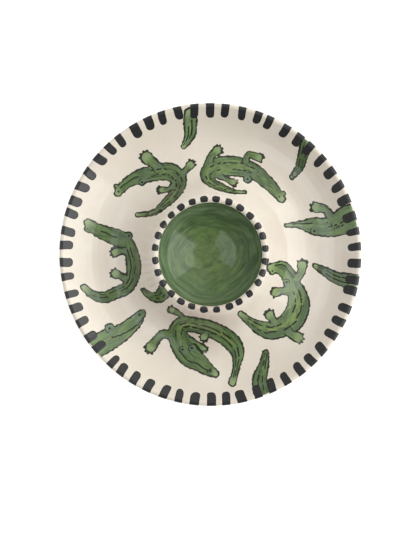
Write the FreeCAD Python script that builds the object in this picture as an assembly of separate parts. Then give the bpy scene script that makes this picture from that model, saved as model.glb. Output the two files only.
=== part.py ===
"""Round ceramic chip and dip server, in millimetres, +Z up, standing on z = 0 with its axis on Z.

A wide dish and a small bowl are thrown separately. The dish's middle rises to a flared collar, the bowl's
rolled rim sits on the collar's edge, and a coil of clay luted in behind the seam joins the two. A foot ring
carries the server. The colours lie on the clay as thin fired coats: a lining in the bowl, dots round the
bowl's rim, dashes over the dish's lip, and crocodiles on the band between them.
"""
import FreeCAD, Part
import math
import os

os.makedirs("parts", exist_ok=True)

# Overall sizes, over the coats.
overall_diameter = 330.0
overall_height = 49.0          # top of the dip bowl's rim
lip_height = 32.0              # top of the dish's lip

# Dish.
dish_wall = 6.5
trough_radius = 115.0          # where the chip trough is lowest
trough_floor = 13.0            # height of its surface there
lip_flare = 12.0               # level run of the straight stretch below the lip
collar_flare = 17.0            # level run of the straight stretch of the collar

# Dip bowl.
bowl_radius = 55.5             # inside, at the rim
bowl_wall = 5.0
bowl_floor = 9.0               # height of the inside at the middle
bowl_corner = 22.0             # radius between the bowl's wall and its floor
rolled_rim = 4.0               # radius of the rim's rounded top
skirt_reach = 7.0              # from the middle of the rolled rim out to the seam with the collar

# Foot ring and luting coil.
foot_radius = 112.0            # middle of the ring
foot_width = 9.0
foot_rounding = 2.0
coil_radius = 3.0

# Fired coats.
paint = 0.3                    # black and green decoration
lining = 0.4                   # green glaze inside the bowl

# Dashes over the lip and dots on the bowl's rim.
dash_count = 58
dash_width = 9.2
dash_length = 15.0             # level length from its round inner end to the lip's edge
dot_count = 28
dot_diameter = 8.2
band_margin = 0.5              # bare clay between the crocodiles' band and the dashes and dots

# Crocodiles, drawn in hundredths of the band's width. How their own width runs along a body, from snout to
# tail, and along a leg, from the body to the toes: shares of the length, and shares of the half width.
body_shares = (0.0, 0.12, 0.25, 0.33, 0.42, 0.5, 0.6, 0.68, 0.76, 0.87, 1.0)
body_widths = (0.36, 0.52, 0.78, 0.76, 0.96, 1.0, 0.92, 0.74, 0.5, 0.3, 0.16)
leg_half_width = 5.4
leg_shares = (0.0, 0.45, 0.8, 1.0)
leg_widths = (1.1, 0.8, 1.0, 1.2)
eye_radius = 5.2

AXIS = FreeCAD.Vector(0, 0, 1)
ORIGIN = FreeCAD.Vector(0, 0, 0)


def sloped_wall(run, rise, edge_round, straight_run):
    """Slope and arc radius of a wall that rises out of the trough to a rounded edge.

    The wall is an arc that starts level, then a straight stretch of the given level run, tangent to the arc
    and to the edge's rounding. run and rise lead from the lowest point to the rounding's centre.
    """
    low, high = math.radians(1), math.radians(85)
    for _ in range(60):
        slope = (low + high) / 2
        radius = (run - edge_round * math.sin(slope) - straight_run) / math.sin(slope)
        reached = radius * (1 - math.cos(slope)) + straight_run * math.tan(slope)
        if reached < rise + edge_round * math.cos(slope):
            low = slope
        else:
            high = slope
    return slope, radius


# The two rounded edges, and the walls between them and the trough.
rim_r = bowl_radius + rolled_rim
rim_z = overall_height - paint - rolled_rim
lip_round = dish_wall / 2
lip_r = overall_diameter / 2 - paint - lip_round
lip_z = lip_height - paint - lip_round
collar_slope, collar_arc = sloped_wall(trough_radius - rim_r, rim_z - trough_floor, rolled_rim, collar_flare)
lip_slope, lip_arc = sloped_wall(lip_r - trough_radius, lip_z - trough_floor, lip_round, lip_flare)
collar_turn = math.degrees(collar_slope)
lip_turn = math.degrees(lip_slope)

# The seam: a level seat on the collar's edge, and a bore that the bowl's wall fills.
seam_radius = rim_r + skirt_reach
spigot_radius = bowl_radius + bowl_wall


def collar_height(radius, depth):
    """Height of the collar's straight stretch at a radius, on the surface that lies depth below the top one."""
    start_r = rim_r + (rolled_rim - depth) * math.sin(collar_slope)
    start_z = rim_z + (rolled_rim - depth) * math.cos(collar_slope)
    return start_z - (radius - start_r) * math.tan(collar_slope)


seat_z = collar_height(seam_radius, 0)
spigot_z = collar_height(spigot_radius, dish_wall)

# The bowl's floor is a wide arc centred on the axis, tangent to the corner arc below the wall.
bowl_depth = spigot_z - bowl_floor
corner = min(bowl_corner, 0.9 * bowl_depth)
corner_r = bowl_radius - corner
floor_arc = (corner_r ** 2 + bowl_depth ** 2 - corner ** 2) / (2 * (bowl_depth - corner))
floor_centre_z = bowl_floor + floor_arc
floor_turn = math.degrees(math.atan2(corner_r, floor_centre_z - spigot_z))

# The crocodiles' band lies between the dots and the dashes.
dash_inner = overall_diameter / 2 - dash_length
band_outer = dash_inner - band_margin
band_inner = rim_r + dot_diameter / 2 + band_margin
hundredth = (band_outer - band_inner) / 100


def at(radius, height):
    """A point of a profile, in the plane that holds the axis and X."""
    return FreeCAD.Vector(radius, 0, height)


def arc(centre, radius, start, end):
    """An arc of a profile between two angles, in degrees up from level."""
    points = []
    for angle in (start, (start + end) / 2, end):
        turn = math.radians(angle)
        points.append(centre + at(radius * math.cos(turn), radius * math.sin(turn)))
    return Part.Arc(*points).toShape()


def line(start, end):
    return Part.LineSegment(start, end).toShape()


def turned(pieces):
    """The solid that a profile sweeps round the axis. A straight edge closes each gap between two pieces."""
    edges = []
    for piece, following in zip(pieces, pieces[1:] + pieces[:1]):
        edges.append(piece)
        end = piece.lastVertex(True).Point
        start = following.firstVertex(True).Point
        if end.distanceToPoint(start) > 1e-6:
            edges.append(line(end, start))
    return Part.Face(Part.Wire(edges)).revolve(ORIGIN, AXIS, 360)


def trough_inner(height, start, end):
    """The trough's inner arc on the surface height above the top one, between two angles from its low point."""
    centre = at(trough_radius, trough_floor + collar_arc)
    return arc(centre, collar_arc - height, -90 - start, -90 - end)


def trough_outer(height, start, end):
    centre = at(trough_radius, trough_floor + lip_arc)
    return arc(centre, lip_arc - height, -90 + start, -90 + end)


def rolled_edge(height, start, end):
    return arc(at(rim_r, rim_z), rolled_rim + height, start, end)


def bowl_curve(offset, start_z):
    """The bowl's inside, or its outside, offset from it, down from start_z to the middle."""
    wall_r = bowl_radius + offset
    wall = line(at(wall_r, start_z), at(wall_r, spigot_z))
    turn = arc(at(corner_r, spigot_z), corner + offset, 0, -90 + floor_turn)
    floor = arc(at(0, floor_centre_z), floor_arc + offset, -90 + floor_turn, -90)
    return [wall, turn, floor]


def upwards(offset, end_z):
    """The same curve from the middle up."""
    wall_r = bowl_radius + offset
    floor = arc(at(0, floor_centre_z), floor_arc + offset, -90, -90 + floor_turn)
    turn = arc(at(corner_r, spigot_z), corner + offset, -90 + floor_turn, 0)
    wall = line(at(wall_r, spigot_z), at(wall_r, end_z))
    return [floor, turn, wall]


def dish():
    """The wide dish: collar, trough and lip, one even wall with a round edge, open in the middle."""
    top = [trough_inner(0, collar_turn, 0), trough_outer(0, 0, lip_turn)]
    lip = [arc(at(lip_r, lip_z), lip_round, 90 + lip_turn, -90 + lip_turn)]
    under = [trough_outer(-dish_wall, lip_turn, 0), trough_inner(-dish_wall, 0, collar_turn)]
    bore = [line(at(spigot_radius, spigot_z), at(spigot_radius, seat_z))]
    seat = [line(at(spigot_radius, seat_z), at(seam_radius, seat_z))]
    return turned(top + lip + under + bore + seat)


def dip_bowl():
    """The small bowl with its rolled rim, a skirt that carries on the collar's slope, and a spigot below."""
    rim = [rolled_edge(0, 180, 90 - collar_turn)]
    skirt = [line(at(seam_radius, seat_z), at(spigot_radius, seat_z))]
    return turned(upwards(0, rim_z) + rim + skirt + bowl_curve(bowl_wall, seat_z))


def foot_ring(dish_solid):
    """A ring with rounded lower edges, let up into the dish's underside."""
    inner = foot_radius - foot_width / 2
    outer = foot_radius + foot_width / 2
    left = arc(at(inner + foot_rounding, foot_rounding), foot_rounding, 180, 270)
    right = arc(at(outer - foot_rounding, foot_rounding), foot_rounding, 270, 360)
    top = line(at(outer, trough_floor), at(inner, trough_floor))
    return turned([left, right, top]).cut(dish_solid).Solids[-1]


def luting_coil(dish_solid, bowl_solid):
    """A coil of clay worked into the corner between the bowl's wall and the collar's underside."""
    ring = Part.makeTorus(spigot_radius, coil_radius, at(0, spigot_z), AXIS)
    pieces = ring.cut(dish_solid).cut(bowl_solid).Solids
    return [piece for piece in pieces if piece.BoundBox.ZMin < spigot_z - coil_radius / 2][0]


def bowl_lining():
    """The green glaze that covers the bowl's inside up to the rim."""
    return turned(upwards(0, rim_z) + bowl_curve(-lining, rim_z))


def paint_skin():
    """A coat of paint over all the top, from the bowl's rim to the underside of the lip."""
    shell = [
        rolled_edge(0, 180, 90 - collar_turn),
        trough_inner(0, collar_turn, 0),
        trough_outer(0, 0, lip_turn),
        arc(at(lip_r, lip_z), lip_round, 90 + lip_turn, -90 + lip_turn),
        arc(at(lip_r, lip_z), lip_round + paint, -90 + lip_turn, 90 + lip_turn),
        trough_outer(paint, lip_turn, 0),
        trough_inner(paint, 0, collar_turn),
        rolled_edge(paint, 90 - collar_turn, 180),
    ]
    return turned(shell)


def around(solid, count):
    """Copies of a solid at equal angles round the axis, the first half a step from X."""
    copies = []
    for index in range(count):
        copy = solid.copy()
        copy.rotate(ORIGIN, AXIS, (index + 0.5) * 360 / count)
        copies.append(copy)
    return copies


def rim_dashes(skin):
    """Dashes with a round inner end that run over the lip's edge."""
    half = dash_width / 2
    reach = overall_diameter / 2 + half
    body = Part.makeBox(reach - dash_inner - half, dash_width, overall_height, at(dash_inner + half, 0))
    body.translate(FreeCAD.Vector(0, -half, 0))
    end = Part.makeCylinder(half, overall_height, at(dash_inner + half, 0))
    return around(skin.common(body.fuse(end)).Solids[0], dash_count)


def rim_dots(skin):
    """Round dots on top of the bowl's rolled rim."""
    stamp = Part.makeCylinder(dot_diameter / 2, 2 * rolled_rim, at(rim_r, rim_z))
    return around(skin.common(stamp).Solids[0], dot_count)


def band_point(angle, share):
    """A point of the band: degrees round from X, and hundredths of the way from the dots to the dashes."""
    radius = band_inner + hundredth * share
    turn = math.radians(angle)
    return FreeCAD.Vector(radius * math.cos(turn), radius * math.sin(turn), 0)


def ribbon(points, half_width, profile, first, last):
    """The face on both sides of a spline through points of the band.

    profile pairs shares of a whole length with shares of half_width, which is in hundredths of the band; the
    spline runs over the part of that length between first and last.
    """
    reach = half_width * hundredth
    curve = Part.BSplineCurve()
    curve.interpolate([band_point(*point) for point in points])
    spine = curve.toShape()
    flanks = ([], [])
    for share, width in profile:
        if first <= share <= last:
            place = spine.getParameterByLength((share - first) / (last - first) * spine.Length)
            across = AXIS.cross(spine.tangentAt(place)).multiply(width * reach)
            flanks[0].append(spine.valueAt(place) + across)
            flanks[1].append(spine.valueAt(place) - across)
    edges = []
    for flank in flanks:
        side = Part.BSplineCurve()
        side.interpolate(flank)
        edges.append(side.toShape())
    ends = [line(flanks[0][0], flanks[1][0]), line(flanks[0][-1], flanks[1][-1])]
    return Part.Face(Part.Wire([edges[0], ends[1], edges[1], ends[0]]))


def crocodile_outlines(half_width, first, last, spine, legs, eyes):
    """The faces that together cover one crocodile: its body, its legs and the bulges of its eyes."""
    outlines = [ribbon(spine, half_width, list(zip(body_shares, body_widths)), first, last)]
    for leg in legs:
        outlines.append(ribbon(leg, leg_half_width, list(zip(leg_shares, leg_widths)), 0, 1))
    for eye in eyes:
        bulge = Part.Circle(band_point(*eye), AXIS, eye_radius * hundredth)
        outlines.append(Part.Face(Part.Wire(bulge.toShape())))
    return outlines


def painted(outlines, skin):
    """The coat under flat outlines: they are drawn upwards, joined, and kept where they meet the skin."""
    prisms = [outline.extrude(AXIS * overall_height) for outline in outlines]
    stamp = prisms[0]
    if prisms[1:]:
        stamp = stamp.fuse(prisms[1:]).removeSplitter()
    return skin.common(stamp).Solids


# Every crocodile: its name, half its width, where on a whole body its drawing starts and ends, its spine from
# snout to tail, its legs from the body to the toes, and the bulges of its eyes. Points are degrees round
# from X and hundredths of the way across the band.
crocodiles = [
    ("crocodile_top_right", 13, 0, 1,
     [(37, 38), (48, 39), (58, 43), (70, 45), (80, 41), (88, 35), (91, 25), (86, 14), (76, 11), (67, 12),
      (60, 17)],
     [[(69, 44), (69, 60), (63, 64)], [(90, 34), (90, 50), (85, 61)], [(84, 28), (79, 25), (73, 22)]],
     [(63, 34)]),
    ("crocodile_top_left", 11, 0, 1,
     [(146, 72), (139, 67), (133, 60), (127, 54), (120, 49), (115, 40), (113, 29), (116, 19), (123, 12),
      (135, 11), (144, 15), (151, 32)],
     [[(122, 48), (121, 62), (124, 76)], [(112, 28), (107, 34), (102, 43)], [(118, 24), (122, 24), (126, 29)]],
     [(133, 52)]),
    ("crocodile_left", 11, 0, 1,
     [(167, 88), (168, 74), (169, 58), (170, 44), (173, 32), (178, 26), (184, 24), (191, 25), (197, 30),
      (202, 42), (203, 58), (202, 72), (199, 83), (194, 92)],
     [[(180, 28), (179, 38), (178, 49)], [(198, 30), (195, 39), (192, 48)]],
     [(166, 33)]),
    ("crocodile_bottom", 14, 0, 1,
     [(272, 77), (266, 70), (260, 63), (255, 52), (250, 42), (246, 31), (249, 21), (257, 17), (268, 20),
      (278, 28), (284, 42), (286, 57), (284, 69), (282, 80), (280, 93)],
     [[(246, 38), (240, 46), (237, 69)], [(249, 18), (243, 11), (235, 11)], [(255, 46), (261, 43), (266, 45)],
      [(266, 24), (267, 30), (267, 37)]],
     [(262, 50)]),
    ("crocodile_right", 14, 0, 1,
     [(348, 5), (349, 18), (345, 29), (341, 36), (336, 47), (331, 55), (326, 59), (321, 59), (315, 56),
      (308, 49), (304, 37), (300, 24), (297, 9)],
     [[(341, 42), (348, 44), (355, 43)], [(334, 40), (331, 28), (328, 19)], [(315, 58), (315, 70), (316, 85)],
      [(313, 50), (314, 40), (314, 32)]],
     [(340, 26)]),
    ("crocodile_head_right", 15, 0, 0.5,
     [(21, 29), (19, 45), (16, 68), (14, 83), (14, 110)],
     [[(15, 86), (20, 80), (24, 72)]],
     [(12, 62)]),
    ("crocodile_head_lower_left", 15, 0, 0.5,
     [(221, 43), (222, 57), (221, 79), (220, 94), (219, 112)],
     [],
     [(216, 87)]),
    ("crocodile_tail_upper_right", 9, 0.6, 1,
     [(49, 112), (47, 98), (44, 85), (44, 70)],
     [], []),
    ("crocodile_tail_top", 9, 0.6, 1,
     [(98, 110), (98, 96), (99, 83), (104, 65)],
     [], []),
    ("crocodile_tail_by_bowl", 11, 0.6, 1,
     [(219, -6), (220, 6), (215, 17), (208, 22)],
     [], []),
    ("crocodile_tail_lower_right", 9, 0.6, 1,
     [(291, 110), (293, 96), (297, 81), (300, 67)],
     [], []),
    ("crocodile_tail_right", 9, 0.6, 1,
     [(349, 110), (349, 92), (351, 76), (354, 60)],
     [], []),
]

dish_solid = dish()
bowl_solid = dip_bowl()
skin = paint_skin()
ring = Part.makeCylinder(band_outer, overall_height).cut(Part.makeCylinder(band_inner, overall_height))
band = skin.common(ring)

nodes = {
    "dish": [dish_solid],
    "dip_bowl": [bowl_solid],
    "foot_ring": [foot_ring(dish_solid)],
    "luting_coil": [luting_coil(dish_solid, bowl_solid)],
    "bowl_lining": [bowl_lining()],
    "rim_dashes": rim_dashes(skin),
    "bowl_rim_dots": rim_dots(skin),
}
for name, *drawing in crocodiles:
    nodes[name] = painted(crocodile_outlines(*drawing), band)

for name, solids in nodes.items():
    shape = solids[0] if len(solids) == 1 else Part.makeCompound(solids)
    shape.exportStep(f"parts/{name}.step")
    print(f"{name}: {len(solids)} solid(s), {shape.Volume:.1f} mm3, valid {shape.isValid()}")
print(f"collar slope {collar_turn:.1f}, lip slope {lip_turn:.1f}, seam at z {seat_z:.1f}")
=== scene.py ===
import math

import bpy
import numpy as np
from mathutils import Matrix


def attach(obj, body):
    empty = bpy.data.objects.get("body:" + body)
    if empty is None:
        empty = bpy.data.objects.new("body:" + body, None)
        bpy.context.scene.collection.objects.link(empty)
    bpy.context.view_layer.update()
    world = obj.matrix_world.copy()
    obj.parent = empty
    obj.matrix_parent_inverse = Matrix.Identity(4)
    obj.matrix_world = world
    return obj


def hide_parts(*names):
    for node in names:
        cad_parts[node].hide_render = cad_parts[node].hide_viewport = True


# Looks of a round ceramic chip and dip server. The clay, the glazes and the brushwork are built round the
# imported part, in its own frame: +Z up, the axis on Z, the foot on z = 0. Sizes of shapes are millimetres and
# are turned into metres as a mesh is made. Places and scales in materials are metres.

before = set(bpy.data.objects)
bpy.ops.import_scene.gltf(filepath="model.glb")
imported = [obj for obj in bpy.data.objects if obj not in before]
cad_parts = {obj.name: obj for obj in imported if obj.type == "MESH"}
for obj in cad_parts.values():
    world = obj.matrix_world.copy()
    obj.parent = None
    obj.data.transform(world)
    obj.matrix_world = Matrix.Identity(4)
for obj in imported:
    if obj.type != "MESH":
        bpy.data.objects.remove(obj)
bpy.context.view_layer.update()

MM = 0.001
rng = np.random.default_rng(58)

# ---------------------------------------------------------------- sizes
# The clay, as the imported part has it.
COAT_ROOM = 0.3                   # between the part's outer size and the clay under the coats
DISH_RADIUS = 165.0 - COAT_ROOM
DISH_WALL = 6.5
LIP_TOP = 32.0 - COAT_ROOM
RIM_TOP = 49.0 - COAT_ROOM
TROUGH_R = 115.0
TROUGH_Z = 13.0
LIP_FLARE = 12.0
COLLAR_FLARE = 17.0
BOWL_R = 55.5
BOWL_WALL = 5.0
BOWL_FLOOR = 9.0
BOWL_CORNER = 22.0
ROLL = 4.0
SKIRT = 7.0
FOOT_R = 112.0
FOOT_WIDTH = 9.0
FOOT_ROUNDING = 2.0
FOOT_BITE = 1.2                   # how far the foot's top goes up into the dish
COIL = 3.0
SEAM_LAP = 0.2                    # a short straight stretch on each side of the seam

# Coats, as they lie on the clay.
LINING_LIFT = 0.30                # green glaze in the bowl
LINING_PAST_WALL = 1.3            # how far it comes over the start of the rolled rim
BLACK_LIFT = 0.16                 # dashes and dots stand a little proud under the clear glaze
WASH_LIFT = 0.05                  # thin brushed colour
LINING_SINK = 0.02                # how far each coat's edge lies under the clay's surface
BLACK_SINK = 0.01
WASH_SINK = 0.03
BURIED = -0.12                    # a coat's hidden side
DASH_START_R = 150.0
DASH_PAST_EDGE = 3.4              # the dashes end this far past the lip's widest line
PAINT_OUTER_R = 163.2             # the crocodiles are painted between these radii
PAINT_INNER_R = 59.8

# Brushwork.
MARGIN = 1.5                      # a crocodile's coat goes this far past its outline
INK_MARGIN = 0.6                  # and this far past its claws
CELL = 0.45                       # spacing of its vertices
BOX_ROOM = 7                      # room round it for feet and brows
JAW_HALF = 0.55                   # half widths of ink lines
TOE_HALF = 1.1
CLAW_HALF = 0.42
PUPIL = 1.2
LEG_STREAKS = 40                  # a leg's brush streaks start this far from the body's
FAR = 9.0                         # distance given where nothing is drawn

RIM_R = BOWL_R + ROLL
RIM_Z = RIM_TOP - ROLL
LIP_ROUND = DISH_WALL / 2
LIP_R = DISH_RADIUS - LIP_ROUND
LIP_Z = LIP_TOP - LIP_ROUND


def ramp(value, low, high):
    """0 at low, 1 at high, straight between them and level outside."""
    return np.clip((value - low) / (high - low), 0, 1)


def peak(distance, reach):
    """1 at a distance of 0, falling straight to 0 at reach."""
    return ramp(np.abs(distance), reach, 0)


def sloped_wall(run, rise, rounding, level):
    """Slope and arc radius of a wall: an arc that starts level, a straight stretch and a rounded edge."""
    low, high = math.radians(1), math.radians(85)
    for _ in range(60):
        slope = (low + high) / 2
        radius = (run - rounding * math.sin(slope) - level) / math.sin(slope)
        reached = radius * (1 - math.cos(slope)) + level * math.tan(slope)
        if reached < rise + rounding * math.cos(slope):
            low = slope
        else:
            high = slope
    return math.degrees(slope), radius


COLLAR_TURN, COLLAR_ARC = sloped_wall(TROUGH_R - RIM_R, RIM_Z - TROUGH_Z, ROLL, COLLAR_FLARE)
LIP_TURN, LIP_ARC = sloped_wall(LIP_R - TROUGH_R, LIP_Z - TROUGH_Z, LIP_ROUND, LIP_FLARE)
SEAM_R = RIM_R + SKIRT
SPIGOT_R = BOWL_R + BOWL_WALL


def collar_height(radius, depth):
    """Height of the collar's straight stretch at a radius, depth below its top surface."""
    slope = math.radians(COLLAR_TURN)
    start_r = RIM_R + (ROLL - depth) * math.sin(slope)
    start_z = RIM_Z + (ROLL - depth) * math.cos(slope)
    return start_z - (radius - start_r) * math.tan(slope)


SEAT_Z = collar_height(SEAM_R, 0)
SPIGOT_Z = collar_height(SPIGOT_R, DISH_WALL)
CORNER_R = BOWL_R - BOWL_CORNER
BOWL_DEPTH = SPIGOT_Z - BOWL_FLOOR
FLOOR_ARC = (CORNER_R ** 2 + BOWL_DEPTH ** 2 - BOWL_CORNER ** 2) / (2 * (BOWL_DEPTH - BOWL_CORNER))
FLOOR_Z = BOWL_FLOOR + FLOOR_ARC
FLOOR_TURN = math.degrees(math.atan2(CORNER_R, FLOOR_Z - SPIGOT_Z))


# ---------------------------------------------------------------- profiles
def arc(centre_r, centre_z, radius, start, end, count):
    """Points centre + radius (cos a, sin a), for count angles a from start to end, in degrees."""
    turn = np.radians(np.linspace(start, end, count))
    return np.column_stack([centre_r + radius * np.cos(turn), centre_z + radius * np.sin(turn)])


def straight(start, end, count):
    """count points spaced evenly from start to end."""
    share = np.linspace(0, 1, count)[:, None]
    return np.asarray(start) * (1 - share) + np.asarray(end) * share


def joined(*stretches):
    """One line through all the stretches, without the points that two of them share."""
    line = np.concatenate(stretches)
    step = np.hypot(*np.diff(line, axis=0).T)
    return line[np.concatenate([[True], step > 1e-4])]


def divided(line, step):
    """The same line with points added, evenly along each stretch, so that none is longer than step."""
    long = np.hypot(*np.diff(line, axis=0).T)
    parts = np.ceil(long / step).astype(int)
    start = np.repeat(np.arange(len(long)), parts)
    share = (np.arange(parts.sum()) - np.repeat(np.cumsum(parts) - parts, parts)) / parts[start]
    inner = line[start] * (1 - share)[:, None] + line[start + 1] * share[:, None]
    return np.concatenate([inner, line[-1:]])


def bowl_inside(offset, count):
    """The bowl's inside from its middle to the start of the rolled rim, moved outwards by offset."""
    floor = arc(0, FLOOR_Z, FLOOR_ARC + offset, -90, -90 + FLOOR_TURN, count)
    corner = arc(CORNER_R, SPIGOT_Z, BOWL_CORNER + offset, -90 + FLOOR_TURN, 0, count)
    wall = straight((BOWL_R + offset, SPIGOT_Z), (BOWL_R + offset, RIM_Z), count // 5 + 3)
    floor[0, 0] = 0
    return joined(floor, corner, wall)


def rolled_rim(count):
    """The rim's round top, from the bowl's wall to the collar's slope."""
    return arc(RIM_R, RIM_Z, ROLL, 180, 90 - COLLAR_TURN, count)


def trough(depth, count):
    """The dish's surface from the collar's straight stretch to the lip's, depth below the top one."""
    inner = arc(TROUGH_R, TROUGH_Z + COLLAR_ARC, COLLAR_ARC + depth, -90 - COLLAR_TURN, -90, count)
    outer = arc(TROUGH_R, TROUGH_Z + LIP_ARC, LIP_ARC + depth, -90, -90 + LIP_TURN, count)
    return joined(inner, outer)


def lip(count):
    """The lip's round edge, from the trough's slope to the underside's."""
    return arc(LIP_R, LIP_Z, LIP_ROUND, 90 + LIP_TURN, -90 + LIP_TURN, count)


# The whole glazed surface as one line, from the bowl's middle over the rim, the trough and the lip. Every
# coat is laid on it by its distance along the line. GLAZE_S is that distance, and GLAZE_N points outwards.
GLAZE = divided(joined(bowl_inside(0, 700), rolled_rim(400), trough(0, 900), lip(400)), 0.2)
GLAZE_S = np.concatenate([[0], np.cumsum(np.hypot(*np.diff(GLAZE, axis=0).T))])
tangent = np.gradient(GLAZE, GLAZE_S, axis=0)
tangent /= np.hypot(*tangent.T)[:, None]
GLAZE_N = np.column_stack([-tangent[:, 1], tangent[:, 0]])
CREST = int(GLAZE[:, 1].argmax())
WIDEST = int(GLAZE[:, 0].argmax())
CREST_S = GLAZE_S[CREST]


def s_at(radius):
    """Distance along the glaze line at a radius outside the rim's crest."""
    return np.interp(radius, GLAZE[CREST:WIDEST, 0], GLAZE_S[CREST:WIDEST])


def thrown(points):
    """The slight unevenness of a hand-thrown piece.

    With a the angle and w a weight that grows from 0 at the foot to 1 at the lip, height gains
    w (0.5 sin(2a + 1) + 0.25 sin(3a + 2)), radius gains w (0.45 sin(2a + 4)), and faint throwing rings,
    0.03 sin(0.95 radius + 0.8 sin a), ride on the whole outside the collar's top.
    """
    x, y, z = points.T
    radius, turn = np.hypot(x, y), np.arctan2(y, x)
    weight = ramp(radius, 118, 165) ** 2
    rings = 0.03 * np.sin(0.95 * radius + 0.8 * np.sin(turn)) * ramp(radius, 62, 72)
    rise = weight * (0.5 * np.sin(2 * turn + 1) + 0.25 * np.sin(3 * turn + 2)) + rings
    grow = 1 + weight * 0.45 * np.sin(2 * turn + 4) / np.maximum(radius, 1)
    return np.column_stack([x * grow, y * grow, z + rise])


def laid(s, turn, lift):
    """Points of a coat: at distance s along the glaze line, turned round the axis, lift above the clay."""
    s, turn, lift = np.broadcast_arrays(s, turn, lift)
    radius = np.interp(s, GLAZE_S, GLAZE[:, 0]) + lift * np.interp(s, GLAZE_S, GLAZE_N[:, 0])
    height = np.interp(s, GLAZE_S, GLAZE[:, 1]) + lift * np.interp(s, GLAZE_S, GLAZE_N[:, 1])
    return np.stack([radius * np.cos(turn), radius * np.sin(turn), height], -1)


# ---------------------------------------------------------------- meshes
def woven(rows, columns, ring=False, start_point=False, end_point=False):
    """The four corners of each face of a grid.

    A ring's last column meets its first. A start or end point is a row that is all one vertex.
    """
    index = np.arange(rows * columns).reshape(rows, columns)
    if start_point:
        index[0] = index[0, 0]
    if end_point:
        index[-1] = index[-1, 0]
    if ring:
        index = np.column_stack([index, index[:, 0]])
    corners = [index[:-1, :-1], index[:-1, 1:], index[1:, 1:], index[1:, :-1]]
    return np.stack(corners, -1).reshape(-1, 4)


def piece(name, nodes, points, faces, look, marks=None, crease=38):
    """Puts points (millimetres) and four-cornered faces into a mesh that takes the place of CAD nodes.

    A face with two equal corners becomes a triangle, unused vertices go, and faces are turned outwards by
    the sign of the volume they enclose. look is a material, and marks are numbers per vertex that it reads
    by name.
    """
    points = thrown(points)
    pinched = [faces[:, k] == faces[:, (k + 1) % 4] for k in range(4)]
    triangles = np.concatenate([np.delete(faces[same], k, axis=1) for k, same in enumerate(pinched)])
    quads = faces[~np.any(pinched, axis=0)]
    used = np.unique(np.concatenate([quads.ravel(), triangles.ravel()]))
    renumber = np.zeros(len(points), int)
    renumber[used] = np.arange(len(used))
    points, quads, triangles = points[used], renumber[quads], renumber[triangles]
    fans = np.concatenate([quads[:, [0, 1, 2]], quads[:, [0, 2, 3]], triangles])
    a, b, c = (points[fans[:, k]] for k in range(3))
    if (a * np.cross(b, c)).sum() < 0:
        quads, triangles = quads[:, ::-1], triangles[:, ::-1]
    corners = np.concatenate([quads.ravel(), triangles.ravel()])
    sizes = np.concatenate([np.full(len(quads), 4), np.full(len(triangles), 3)])
    mesh = bpy.data.meshes.new(name)
    mesh.vertices.add(len(points))
    mesh.vertices.foreach_set("co", (points * MM).astype(np.float32).ravel())
    mesh.loops.add(len(corners))
    mesh.loops.foreach_set("vertex_index", corners.astype(np.int32))
    mesh.polygons.add(len(sizes))
    mesh.polygons.foreach_set("loop_start", (np.cumsum(sizes) - sizes).astype(np.int32))
    mesh.polygons.foreach_set("use_smooth", np.ones(len(sizes), bool))
    mesh.update(calc_edges=True)
    mesh.set_sharp_from_angle(angle=math.radians(crease))
    for mark, values in (marks or {}).items():
        layer = mesh.attributes.new(mark, "FLOAT", "POINT")
        layer.data.foreach_set("value", np.asarray(values, np.float32)[used])
    mesh.materials.append(look)
    made = bpy.data.objects.new(name, mesh)
    bpy.context.scene.collection.objects.link(made)
    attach(made, "root")
    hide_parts(*nodes)


# ---------------------------------------------------------------- finishes
class Recipe:
    """Adds nodes to one tree. Each method returns the socket that the new node puts out."""

    def __init__(self, tree):
        self.tree = tree

    def link(self, source, target):
        self.tree.links.new(source, target)

    def node(self, kind, inputs=(), out=0, **settings):
        """A node with its inputs linked or set. out is one of its outputs, or None for all of them."""
        made = self.tree.nodes.new(kind)
        for key, value in settings.items():
            setattr(made, key, value)
        for key, value in dict(inputs).items():
            if isinstance(value, bpy.types.NodeSocket):
                self.link(value, made.inputs[key])
            else:
                made.inputs[key].default_value = value
        return made.outputs if out is None else made.outputs[out]

    def math(self, operation, a, b=0.0, clamp=False):
        return self.node("ShaderNodeMath", {0: a, 1: b}, operation=operation, use_clamp=clamp)

    def times(self, a, b):
        return self.math("MULTIPLY", a, b)

    def plus(self, a, b):
        return self.math("ADD", a, b)

    def minus(self, a, b):
        return self.math("SUBTRACT", a, b)

    def larger(self, a, b):
        return self.math("MAXIMUM", a, b)

    def mix(self, share, a, b):
        return self.node("ShaderNodeMix", {0: share, 6: a, 7: b}, out=2, data_type="RGBA")

    def fade(self, value, low, high, start=0.0, end=1.0):
        """start below low, end above high, and a smooth step between."""
        inputs = {0: value, 1: low, 2: high, 3: start, 4: end}
        return self.node("ShaderNodeMapRange", inputs, interpolation_type="SMOOTHSTEP")

    def noise(self, vector, scale, detail=2.0, roughness=0.5, distortion=0.0):
        return self.node("ShaderNodeTexNoise", {"Vector": vector, "Scale": scale, "Detail": detail,
                                                "Roughness": roughness, "Distortion": distortion})

    def mark(self, name):
        return self.node("ShaderNodeAttribute", out=2, attribute_name=name)

    def place(self):
        return self.node("ShaderNodeTexCoord", out=3)

    def vector(self, x, y, z):
        return self.node("ShaderNodeCombineXYZ", {0: x, 1: y, 2: z})

    def split(self, vector):
        return self.node("ShaderNodeSeparateXYZ", {0: vector}, out=None)

    def group(self, group, inputs):
        return self.node("ShaderNodeGroup", inputs, out=None, node_tree=group)


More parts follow.
